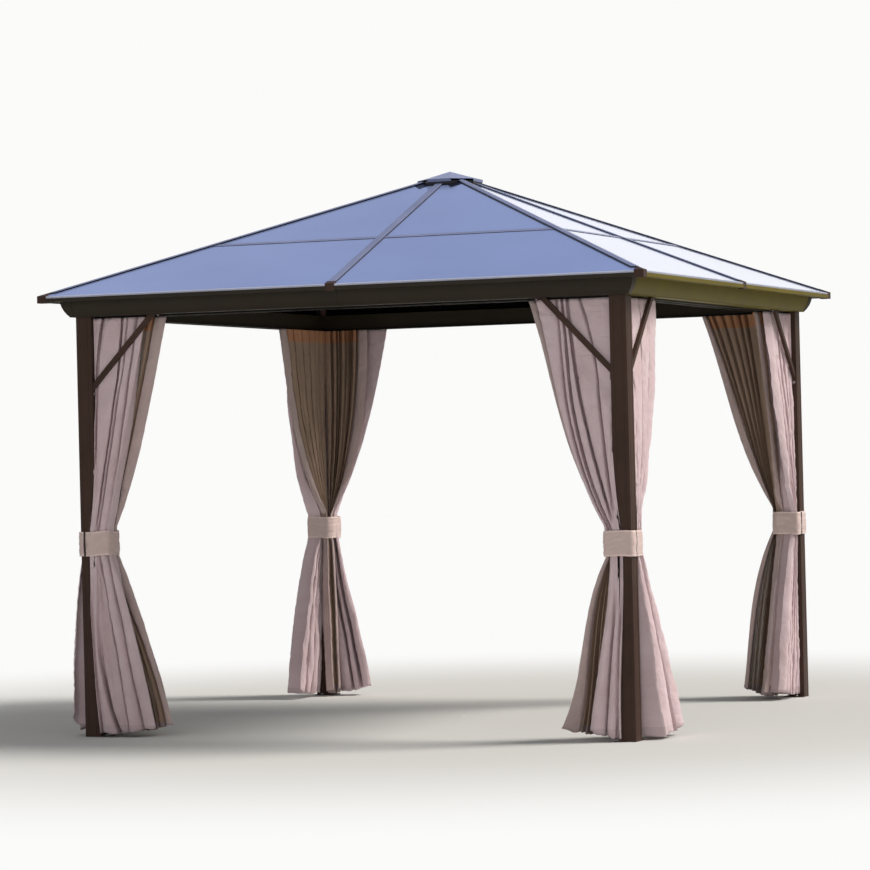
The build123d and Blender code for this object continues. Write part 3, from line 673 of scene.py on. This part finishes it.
# Materials
COAT_GRAIN_MM, COAT_CLOUD_MM = 3.5, 180.0    # sizes of a coat's peel and of its cloudiness
COAT_LOW = 0.86             # of a coat's colour, where it is dullest
COAT_UNEVEN = 0.06          # by which its roughness varies to either side
WEAVE_SCALE = 1000 / 18.84  # of the wave texture, for a thread every 5.9 mm
NET_COVER = 0.8             # of the spacing of the net's threads, the width of one as drawn
PAINTED_SHADOW_LINE = 0.009            # width in metres of the painted shadow line at a band's loose end, where it laps over its start


def add(tree, kind, sockets=None, stops=(), **settings):
    """Adds a node, sets it up, and gives each socket, by name or number, a value or a link. stops are
    the places and colours of a colour ramp, its two ends first."""
    made = tree.nodes.new(kind)
    for name, value in settings.items():
        setattr(made, name, value)
    for name, value in (sockets or {}).items():
        if isinstance(value, bpy.types.NodeSocket):
            tree.links.new(value, made.inputs[name])
        else:
            made.inputs[name].default_value = value
    for k, (position, shade) in enumerate(stops):
        ramp = made.color_ramp.elements
        stop = ramp[k] if k < 2 else ramp.new(position)
        stop.position, stop.color = position, shade
    return made


def new_material(name):
    material = bpy.data.materials.new(name)
    material.use_nodes = True
    material.node_tree.nodes.clear()
    return material, material.node_tree


def finish_material(tree, sockets):
    shader = add(tree, "ShaderNodeBsdfPrincipled", sockets)
    add(tree, "ShaderNodeOutputMaterial", {"Surface": shader.outputs["BSDF"]})


def rgba(values, gain=1.0):
    return (*(min(1.0, c * gain) for c in values), 1.0)


def powder_coat(name, base, roughness, high=1.1, specular=0.3, shaded_sides=None):
    """Polyester powder coat on aluminium: an even satin skin with a fine orange peel, and a faint
    cloudiness where dust has dried on it. shaded_sides is painted shade: the darker colour given to
    the faces that stand upright, as if they were in shadow."""
    material, tree = new_material(name)
    place = add(tree, "ShaderNodeTexCoord").outputs["Object"]
    cloud = add(tree, "ShaderNodeTexNoise", {"Vector": place, "Scale": 1000 / COAT_CLOUD_MM, "Detail": 4.0})
    shade = add(tree, "ShaderNodeValToRGB", {"Fac": cloud.outputs["Fac"]},
                stops=((0.3, rgba(base, COAT_LOW)), (0.7, rgba(base, high))))
    tint = shade.outputs["Color"]
    # Painted shade: faces that stand upright, such as a rib's sides, take a darker colour as if in shadow
    if shaded_sides:
        normal = add(tree, "ShaderNodeNewGeometry").outputs["True Normal"]
        facing = add(tree, "ShaderNodeSeparateXYZ", {"Vector": normal})
        shaded_side_mask = add(tree, "ShaderNodeMath", {0: facing.outputs["Z"], 1: 0.75}, operation="LESS_THAN")
        tint = add(tree, "ShaderNodeMix", {"Factor": shaded_side_mask.outputs[0], 6: tint, 7: rgba(shaded_sides)},
                   data_type="RGBA").outputs[2]
    peel = add(tree, "ShaderNodeTexNoise", {"Vector": place, "Scale": 1000 / COAT_GRAIN_MM, "Detail": 2.0})
    bump = add(tree, "ShaderNodeBump", {"Height": peel.outputs["Fac"], "Strength": 0.12, "Distance": 0.0006})
    gloss = add(tree, "ShaderNodeMapRange", {"Value": cloud.outputs["Fac"], "To Min": roughness - COAT_UNEVEN,
                                             "To Max": roughness + COAT_UNEVEN})
    finish_material(tree, {"Base Color": tint, "Roughness": gloss.outputs["Result"],
                           "Normal": bump.outputs["Normal"], "Specular IOR Level": specular})
    return material


def roof_sheet(colours):
    """Polycarbonate roofing sheet with a bronze body, whose top is painted blue as a reflection of the
    sky: smooth, glossy and a little wavy from extrusion, so that reflections run softly along it."""
    material, tree = new_material("polycarbonate_sheet_painted_sky")
    place = add(tree, "ShaderNodeTexCoord").outputs["Object"]
    normal = add(tree, "ShaderNodeNewGeometry").outputs["Normal"]
    facing = add(tree, "ShaderNodeSeparateXYZ", {"Vector": normal})
    top = add(tree, "ShaderNodeMath", {0: facing.outputs["Z"], 1: 0.0}, operation="GREATER_THAN")
    haze = add(tree, "ShaderNodeTexNoise", {"Vector": place, "Scale": 1.1, "Detail": 3.0})
    # The top faces take the painted sky reflection, with a faint random haze
    skin = add(tree, "ShaderNodeValToRGB", {"Fac": haze.outputs["Fac"]},
               stops=((0.3, rgba(colours.panel_top_painted_sky, 0.9)), (0.7, rgba(colours.panel_top_painted_sky, 1.08))))
    both = add(tree, "ShaderNodeMix", {"Factor": top.outputs["Value"], 6: rgba(colours.panel_under),
                                       7: skin.outputs["Color"]}, data_type="RGBA")
    wave = add(tree, "ShaderNodeTexNoise", {"Vector": place, "Scale": 3.0, "Detail": 1.0})
    bump = add(tree, "ShaderNodeBump", {"Height": wave.outputs["Fac"], "Strength": 0.06, "Distance": 0.02})
    finish_material(tree, {"Base Color": both.outputs[2], "Roughness": 0.16, "IOR": 1.586,
                           "Normal": bump.outputs["Normal"], "Coat Weight": 0.6, "Coat Roughness": 0.06,
                           "Coat IOR": 1.6})
    return material


def woven(name, base, warm, hem=None, stitch=None):
    """Polyester curtain cloth: a plain weave with a dry face and a faint sheen on the folds, paler
    where it is worn, and doubled and darker at the hem. A band has a pale turned edge along both its
    sides, up to the stitches, and a painted shadow line at its loose end, where it lies over its start.
    The threads are drawn much coarser than the real 0.4 mm, or they would not show."""
    material, tree = new_material(name)
    place = add(tree, "ShaderNodeUVMap", uv_map="cloth").outputs["UV"]
    axes = add(tree, "ShaderNodeSeparateXYZ", {"Vector": place})
    fade = add(tree, "ShaderNodeTexNoise", {"Vector": place, "Scale": 5.0, "Detail": 5.0, "Roughness": 0.6})
    tint = add(tree, "ShaderNodeValToRGB", {"Fac": fade.outputs["Fac"]},
               stops=((0.28, rgba(warm)), (0.72, rgba(base, 1.06)))).outputs["Color"]
    if hem:
        low = add(tree, "ShaderNodeMath", {0: axes.outputs["Y"], 1: hem}, operation="GREATER_THAN")
        part = add(tree, "ShaderNodeMath", {0: low.outputs[0], 1: 0.18}, operation="MULTIPLY")
        tint = add(tree, "ShaderNodeMix", {"Factor": part.outputs[0], 6: tint, 7: rgba(warm, 0.45)},
                   data_type="RGBA").outputs[2]
    if stitch:
        middle = add(tree, "ShaderNodeMath", {0: axes.outputs["Y"], 1: BAND_HALF}, operation="SUBTRACT")
        off = add(tree, "ShaderNodeMath", {0: middle.outputs[0]}, operation="ABSOLUTE")
        edge = add(tree, "ShaderNodeMath", {0: off.outputs[0], 1: BAND_HALF - stitch},
                   operation="GREATER_THAN")
        part = add(tree, "ShaderNodeMath", {0: edge.outputs[0], 1: 0.45}, operation="MULTIPLY")
        pale = add(tree, "ShaderNodeMix", {"Factor": part.outputs[0], 6: tint, 7: rgba(base, 1.5)},
                   data_type="RGBA")
        # Painted shadow: a dark line at the band's loose end, for the shade of the step where it lies over
        # its start
        end = add(tree, "ShaderNodeMath", {0: axes.outputs["X"], 1: PAINTED_SHADOW_LINE}, operation="LESS_THAN")
        tint = add(tree, "ShaderNodeMix", {"Factor": end.outputs[0], 6: pale.outputs[2], 7: rgba(base, 0.06)},
                   data_type="RGBA").outputs[2]
    warp, weft = (add(tree, "ShaderNodeTexWave", {"Vector": place, "Scale": WEAVE_SCALE,
                                                  "Distortion": 0.5},
                      wave_type="BANDS", bands_direction=axis).outputs["Fac"] for axis in ("X", "Y"))
    weave = add(tree, "ShaderNodeMath", {0: warp, 1: weft}, operation="MAXIMUM")
    crease = add(tree, "ShaderNodeTexNoise", {"Vector": place, "Scale": 14.0, "Detail": 4.0,
                                              "Distortion": 0.6})
    first = add(tree, "ShaderNodeBump", {"Height": crease.outputs["Fac"], "Strength": 0.75,
                                         "Distance": 0.014})
    second = add(tree, "ShaderNodeBump", {"Height": weave.outputs[0], "Strength": 0.15, "Distance": 0.0006,
                                          "Normal": first.outputs["Normal"]})
    finish_material(tree, {"Base Color": tint, "Roughness": 0.85, "Normal": second.outputs["Normal"],
                           "Sheen Weight": 0.25, "Sheen Roughness": 0.5, "Specular IOR Level": 0.2})
    return material


def netting(sizes, colours):
    """Polyester insect net: brown threads with small open squares between them, drawn coarser than the
    real 1.5 mm mesh so that they show. The cloth is see-through where neither thread runs, and
    solid along its heading and hem, which are strips of woven cloth."""
    material, tree = new_material("polyester_net_knitted")
    place = add(tree, "ShaderNodeUVMap", uv_map="cloth").outputs["UV"]
    axes = add(tree, "ShaderNodeSeparateXYZ", {"Vector": place})
    threads = []
    for axis in ("X", "Y"):
        across = add(tree, "ShaderNodeMath", {0: axes.outputs[axis], 1: sizes.mesh},
                     operation="FLOORED_MODULO")
        threads.append(add(tree, "ShaderNodeMath", {0: across.outputs[0], 1: sizes.mesh * NET_COVER},
                           operation="LESS_THAN").outputs[0])
    cover = add(tree, "ShaderNodeMath", {0: threads[0], 1: threads[1]}, operation="MAXIMUM")
    hem_line = CLOTH_TOP - CLOTH_FOOT - sizes.hem
    top = add(tree, "ShaderNodeMath", {0: axes.outputs["Y"], 1: sizes.heading}, operation="LESS_THAN")
    low = add(tree, "ShaderNodeMath", {0: axes.outputs["Y"], 1: hem_line}, operation="GREATER_THAN")
    strips = add(tree, "ShaderNodeMath", {0: top.outputs[0], 1: low.outputs[0]}, operation="MAXIMUM")
    solid = add(tree, "ShaderNodeMath", {0: cover.outputs[0], 1: strips.outputs[0]}, operation="MAXIMUM")
    cloud = add(tree, "ShaderNodeTexNoise", {"Vector": place, "Scale": 4.0, "Detail": 3.0})
    shade = add(tree, "ShaderNodeValToRGB", {"Fac": cloud.outputs["Fac"]},
                stops=((0, rgba(colours.net, 0.8)), (1, rgba(colours.net, 1.25))))
    both = add(tree, "ShaderNodeMix", {"Factor": low.outputs[0], 6: shade.outputs["Color"],
                                       7: rgba(colours.border, 0.6)}, data_type="RGBA")
    # The heading takes its brown, with painted sunlight shining through it
    last = add(tree, "ShaderNodeMix", {"Factor": top.outputs[0], 6: both.outputs[2],
                                       7: rgba(colours.heading)}, data_type="RGBA")
    finish_material(tree, {"Base Color": last.outputs[2], "Roughness": 0.7, "Alpha": solid.outputs[0],
                           "Specular IOR Level": 0.3})
    return material


def bare_metal(name, base, scale, glossiest, dullest):
    """Bare metal of one colour, whose roughness goes from its glossiest to its dullest with a fine noise."""
    material, tree = new_material(name)
    place = add(tree, "ShaderNodeTexCoord").outputs["Object"]
    blotch = add(tree, "ShaderNodeTexNoise", {"Vector": place, "Scale": scale, "Detail": 2.0})
    gloss = add(tree, "ShaderNodeMapRange", {"Value": blotch.outputs["Fac"], "To Min": glossiest,
                                             "To Max": dullest})
    finish_material(tree, {"Base Color": rgba(base), "Metallic": 1.0, "Roughness": gloss.outputs["Result"]})
    return material


def plain_rubber(colours):
    """EPDM rubber bead: black, dull and faintly dusty."""
    material, tree = new_material("epdm_rubber_extruded")
    place = add(tree, "ShaderNodeTexCoord").outputs["Object"]
    dust = add(tree, "ShaderNodeTexNoise", {"Vector": place, "Scale": 60.0, "Detail": 3.0})
    shade = add(tree, "ShaderNodeValToRGB", {"Fac": dust.outputs["Fac"]},
                stops=((0, rgba(colours.seal)), (1, rgba(colours.seal, 1.8))))
    finish_material(tree, {"Base Color": shade.outputs["Color"], "Roughness": 0.6})
    return material


def make_materials(settings):
    colours = settings.colours
    curtains = settings.curtains
    hem_line = CLOTH_TOP - CLOTH_FOOT - curtains.hem
    warm = [c * g for c, g in zip(colours.curtain, (0.90, 0.84, 0.82))]
    return {
        "frame_coat": powder_coat("powder_coat_brown_satin", colours.frame_coat, 0.42, specular=0.08),
        "header_coat": powder_coat("powder_coat_dark_brown_satin", colours.header_coat, 0.42, specular=0.2),
        # A lit copy of the header's coat: its olive is painted sunlight and lawn bounce
        "painted_sunlit_coat": powder_coat("powder_coat_painted_sunlit_olive", colours.painted_sunlit_coat, 0.45, specular=0.1),
        # The ribs' upright sides take the dark trim's colour as painted shade
        "rib_coat": powder_coat("powder_coat_grey_blue_satin", colours.rib_coat, 0.36,
                                shaded_sides=colours.dark_trim),
        "roof_panel": roof_sheet(colours),
        "dark_trim": powder_coat("powder_coat_dark_trim", colours.dark_trim, 0.38),
        "pale_trim": powder_coat("powder_coat_pale_trim", colours.pale_trim, 0.35, high=1.04),
        # Its blue is painted sky reflection
        "crown_coat": powder_coat("powder_coat_crown_painted_sky", colours.crown, 0.3, specular=0.5),
        # Extruded aluminium, mill finish, darkened near to black as painted shade under the headers
        "track_metal": bare_metal("aluminium_mill_darkened_for_shade", colours.track, 220.0, 0.32, 0.5),
        "curtain_cloth": woven("polyester_cloth_woven", colours.curtain, warm, hem_line),
        "border_cloth": woven("polyester_border_woven", colours.border, [c * 0.82 for c in colours.border]),
        "net_cloth": netting(settings.nets, colours),
        "band_cloth": woven("polyester_band_woven", colours.band, [c * 0.88 for c in colours.band],
                            stitch=settings.bands.stitch),
        "rubber_seal": plain_rubber(colours),
        # Zinc-plated steel: grey metal, slightly blotchy
        "bolt_zinc": bare_metal("steel_zinc_plated", colours.bolt, 400.0, 0.25, 0.5),
    }


def dress_nodes(materials):
    """Gives every CAD node the material of its slot, or another material that a few of them have: the
    right header and eave bar take an olive copy of the header's coat, as painted sunlight and lawn bounce.
    """
    # The right header and eave bar take the painted sunlit copy of the header's coat
    others = {"header_right": "painted_sunlit_coat", "eave_bar_right": "painted_sunlit_coat",
              "panel_joint_strips": "rib_coat"}
    slots = {}
    for part in frame["record"]["subparts"]:
        slots[part["node"]] = part.get("material_slot") or part.get("slot")
    for name, thing in frame["nodes"].items():
        material = materials[others.get(name, slots[name])]
        thing.data.materials.clear()
        thing.data.materials.append(material)


# Stage. A lamp has its azimuth, elevation and spread in degrees, and its tint.
KEY = (112, 44, 22, (1.0, 0.95, 0.89))
FILL = (12, 2, 40, (0.95, 0.97, 1.0))
# What glossy surfaces see, from the ground to overhead: the two ends first, then what lies between.
SKY = ((0.0, (0.25, 0.24, 0.20, 1)), (1.0, (0.06, 0.10, 0.30, 1)), (0.06, (0.45, 0.45, 0.43, 1)),
       (0.14, (0.95, 0.95, 0.95, 1)), (0.36, (0.90, 0.92, 0.95, 1)), (0.60, (0.17, 0.24, 0.50, 1)))


def view_matrix(stage):
    """The camera's place and turn, from its azimuth, pitch and roll."""
    forward = np.array([-math.sin(stage.azimuth) * math.cos(stage.pitch),
                        math.cos(stage.azimuth) * math.cos(stage.pitch), math.sin(stage.pitch)])
    right = np.array([math.cos(stage.azimuth), math.sin(stage.azimuth), 0])
    up = np.cross(right, forward)
    across = math.cos(stage.roll) * right + math.sin(stage.roll) * up
    above = -math.sin(stage.roll) * right + math.cos(stage.roll) * up
    rows = [[across[k], above[k], -forward[k], (stage.camera_x, stage.camera_y, stage.camera_z)[k]]
            for k in range(3)]
    return Matrix(rows + [[0, 0, 0, 1]])


def make_world(stage, colours):
    """Even light from all round. The camera sees the plain backdrop, and glossy surfaces see a pale
    horizon that turns to a clear blue overhead."""
    world = bpy.data.worlds.new("studio")
    world.use_nodes = True
    tree = world.node_tree
    tree.nodes.clear()
    ray = add(tree, "ShaderNodeLightPath")
    way = add(tree, "ShaderNodeTexCoord").outputs["Generated"]
    height = add(tree, "ShaderNodeSeparateXYZ", {"Vector": way})
    sky = add(tree, "ShaderNodeValToRGB", {"Fac": height.outputs["Z"]}, stops=SKY)
    plain = add(tree, "ShaderNodeBackground", {"Color": (1, 1, 1, 1), "Strength": stage.sky})
    seen = add(tree, "ShaderNodeBackground", {"Color": rgba(colours.backdrop), "Strength": 1.0})
    glossy = add(tree, "ShaderNodeBackground", {"Color": sky.outputs["Color"], "Strength": 1.15})
    first = add(tree, "ShaderNodeMixShader", {"Fac": ray.outputs["Is Glossy Ray"], 1: plain.outputs[0],
                                              2: glossy.outputs[0]})
    clear = add(tree, "ShaderNodeMath", {0: ray.outputs["Is Camera Ray"],
                                         1: ray.outputs["Is Transmission Ray"]}, operation="MAXIMUM")
    last = add(tree, "ShaderNodeMixShader", {"Fac": clear.outputs[0], 1: first.outputs[0],
                                             2: seen.outputs[0]})
    add(tree, "ShaderNodeOutputWorld", {"Surface": last.outputs[0]})
    bpy.context.scene.world = world


def floor_finish(colours):
    """Pale studio floor that fades into the backdrop away from the gazebo."""
    material, tree = new_material("studio_floor_pale")
    place = add(tree, "ShaderNodeTexCoord").outputs["Object"]
    away = add(tree, "ShaderNodeVectorMath", {0: place}, operation="LENGTH")
    fade = add(tree, "ShaderNodeMapRange", {"Value": away.outputs["Value"], "From Min": 2.2, "From Max": 5.5},
               interpolation_type="SMOOTHSTEP")
    grain = add(tree, "ShaderNodeTexNoise", {"Vector": place, "Scale": 30.0})
    shade = add(tree, "ShaderNodeValToRGB", {"Fac": grain.outputs["Fac"]},
                stops=((0, rgba(colours.floor, 0.98)), (1, rgba(colours.floor, 1.02))))
    dull = add(tree, "ShaderNodeBsdfDiffuse", {"Color": shade.outputs["Color"]})
    ray = add(tree, "ShaderNodeLightPath")
    glow = add(tree, "ShaderNodeEmission", {"Color": rgba(colours.backdrop)})
    far = add(tree, "ShaderNodeMath", {0: ray.outputs["Is Camera Ray"], 1: fade.outputs["Result"]},
              operation="MULTIPLY")
    mixed = add(tree, "ShaderNodeMixShader", {"Fac": far.outputs[0], 1: dull.outputs[0], 2: glow.outputs[0]})
    add(tree, "ShaderNodeOutputMaterial", {"Surface": mixed.outputs[0]})
    return material


def make_floor(stage, colours):
    """A flat disc: rings about the middle, each a circle of points."""
    turn = np.linspace(0, 2 * math.pi, 96, endpoint=False)
    ring = np.array([0.001, 0.5, 1.0])[:, None] * stage.floor_radius
    points = np.stack([ring * np.cos(turn), ring * np.sin(turn), 0 * ring * turn - 0.0005], axis=-1)
    floor = surface("floor", points, closed=True, flip=True)
    floor.data.materials.append(floor_finish(colours))


def sun(name, strength, azimuth, elevation, spread, tint):
    """A soft far lamp that shines from an azimuth, counted from the front round to the right."""
    lamp = bpy.data.lights.new(name, "SUN")
    lamp.energy = strength
    lamp.angle = math.radians(spread)
    lamp.color = tint
    made = bpy.data.objects.new(name, lamp)
    turn = math.radians(azimuth)
    lift = math.radians(elevation)
    way = np.array([math.sin(turn) * math.cos(lift), -math.cos(turn) * math.cos(lift), math.sin(lift)])
    side = np.cross((0, 0, 1), way)
    side = side / np.linalg.norm(side)
    above = np.cross(way, side)
    rows = [[side[k], above[k], way[k], 8 * way[k]] for k in range(3)]
    made.matrix_world = Matrix(rows + [[0, 0, 0, 1]])
    bpy.context.scene.collection.objects.link(made)


def make_stage(stage, colours):
    scene = bpy.context.scene
    scene.view_settings.view_transform = "Standard"
    lens = bpy.data.cameras.new("camera")
    lens.lens = stage.lens
    lens.sensor_width = 36
    lens.clip_end = 200
    camera = bpy.data.objects.new("camera", lens)
    camera.matrix_world = view_matrix(stage)
    scene.collection.objects.link(camera)
    scene.camera = camera
    make_world(stage, colours)
    make_floor(stage, colours)
    sun("key", stage.key, *KEY)
    sun("fill", stage.fill, *FILL)


class GazeboSettings(bpy.types.PropertyGroup):
    curtains: PointerProperty(type=GazeboCurtainSizes)
    nets: PointerProperty(type=GazeboNetSizes)
    bands: PointerProperty(type=GazeboBandSizes)
    colours: PointerProperty(type=GazeboColours)
    stage: PointerProperty(type=GazeboStageSizes)


# Operators, one for each kind of piece
FINISHES = {}


class GAZEBO_OT_finishes(bpy.types.Operator):
    """Makes the finishes and gives them to the frame's nodes"""
    bl_idname = "gazebo.finishes"
    bl_label = "Finishes"

    def execute(self, context):
        FINISHES.update(make_materials(context.scene.gazebo))
        dress_nodes(FINISHES)
        return {"FINISHED"}


class GAZEBO_OT_curtains(bpy.types.Operator):
    """Makes the eight gathered curtains"""
    bl_idname = "gazebo.curtains"
    bl_label = "Curtains"

    def execute(self, context):
        make_curtains(context.scene.gazebo.curtains, FINISHES)
        return {"FINISHED"}


class GAZEBO_OT_nets(bpy.types.Operator):
    """Makes the eight nets and their cloth borders"""
    bl_idname = "gazebo.nets"
    bl_label = "Nets"

    def execute(self, context):
        make_nets(context.scene.gazebo.nets, FINISHES)
        return {"FINISHED"}


class GAZEBO_OT_bands(bpy.types.Operator):
    """Makes the four tie bands"""
    bl_idname = "gazebo.bands"
    bl_label = "Tie bands"

    def execute(self, context):
        make_bands(context.scene.gazebo.bands, FINISHES)
        return {"FINISHED"}


class GAZEBO_OT_fixings(bpy.types.Operator):
    """Makes the bolts, screws and rib seals"""
    bl_idname = "gazebo.fixings"
    bl_label = "Bolts and seals"

    def execute(self, context):
        make_bolts(FINISHES)
        make_seals(FINISHES, context.scene.gazebo.stage.roof_pitch)
        return {"FINISHED"}


class GAZEBO_OT_stage(bpy.types.Operator):
    """Makes the camera, the lights, the backdrop and the floor"""
    bl_idname = "gazebo.stage"
    bl_label = "Stage"

    def execute(self, context):
        make_stage(context.scene.gazebo.stage, context.scene.gazebo.colours)
        return {"FINISHED"}


class GAZEBO_PT_panel(bpy.types.Panel):
    bl_idname = "GAZEBO_PT_panel"
    bl_label = "Gazebo"
    bl_space_type = "VIEW_3D"
    bl_region_type = "UI"
    bl_category = "Gazebo"

    def draw(self, context):
        for step in STEPS:
            self.layout.operator(step.bl_idname)
        settings = context.scene.gazebo
        for group in (settings.curtains, settings.nets, settings.bands, settings.colours, settings.stage):
            box = self.layout.box()
            for name in group.__annotations__:
                box.prop(group, name)


STEPS = (GAZEBO_OT_stage, GAZEBO_OT_finishes, GAZEBO_OT_curtains, GAZEBO_OT_nets, GAZEBO_OT_bands,
         GAZEBO_OT_fixings)
CLASSES = (GazeboCurtainSizes, GazeboNetSizes, GazeboBandSizes, GazeboColours, GazeboStageSizes,
           GazeboSettings, *STEPS, GAZEBO_PT_panel)


def register():
    for one in CLASSES:
        bpy.utils.register_class(one)
    bpy.types.Scene.gazebo = PointerProperty(type=GazeboSettings)


def unregister():
    del bpy.types.Scene.gazebo
    for one in reversed(CLASSES):
        bpy.utils.unregister_class(one)


def main():
    register()
    bpy.ops.gazebo.stage()
    bpy.ops.gazebo.finishes()
    bpy.ops.gazebo.curtains()
    bpy.ops.gazebo.nets()
    bpy.ops.gazebo.bands()
    bpy.ops.gazebo.fixings()
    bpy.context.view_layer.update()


if __name__ == "__main__":
    main()
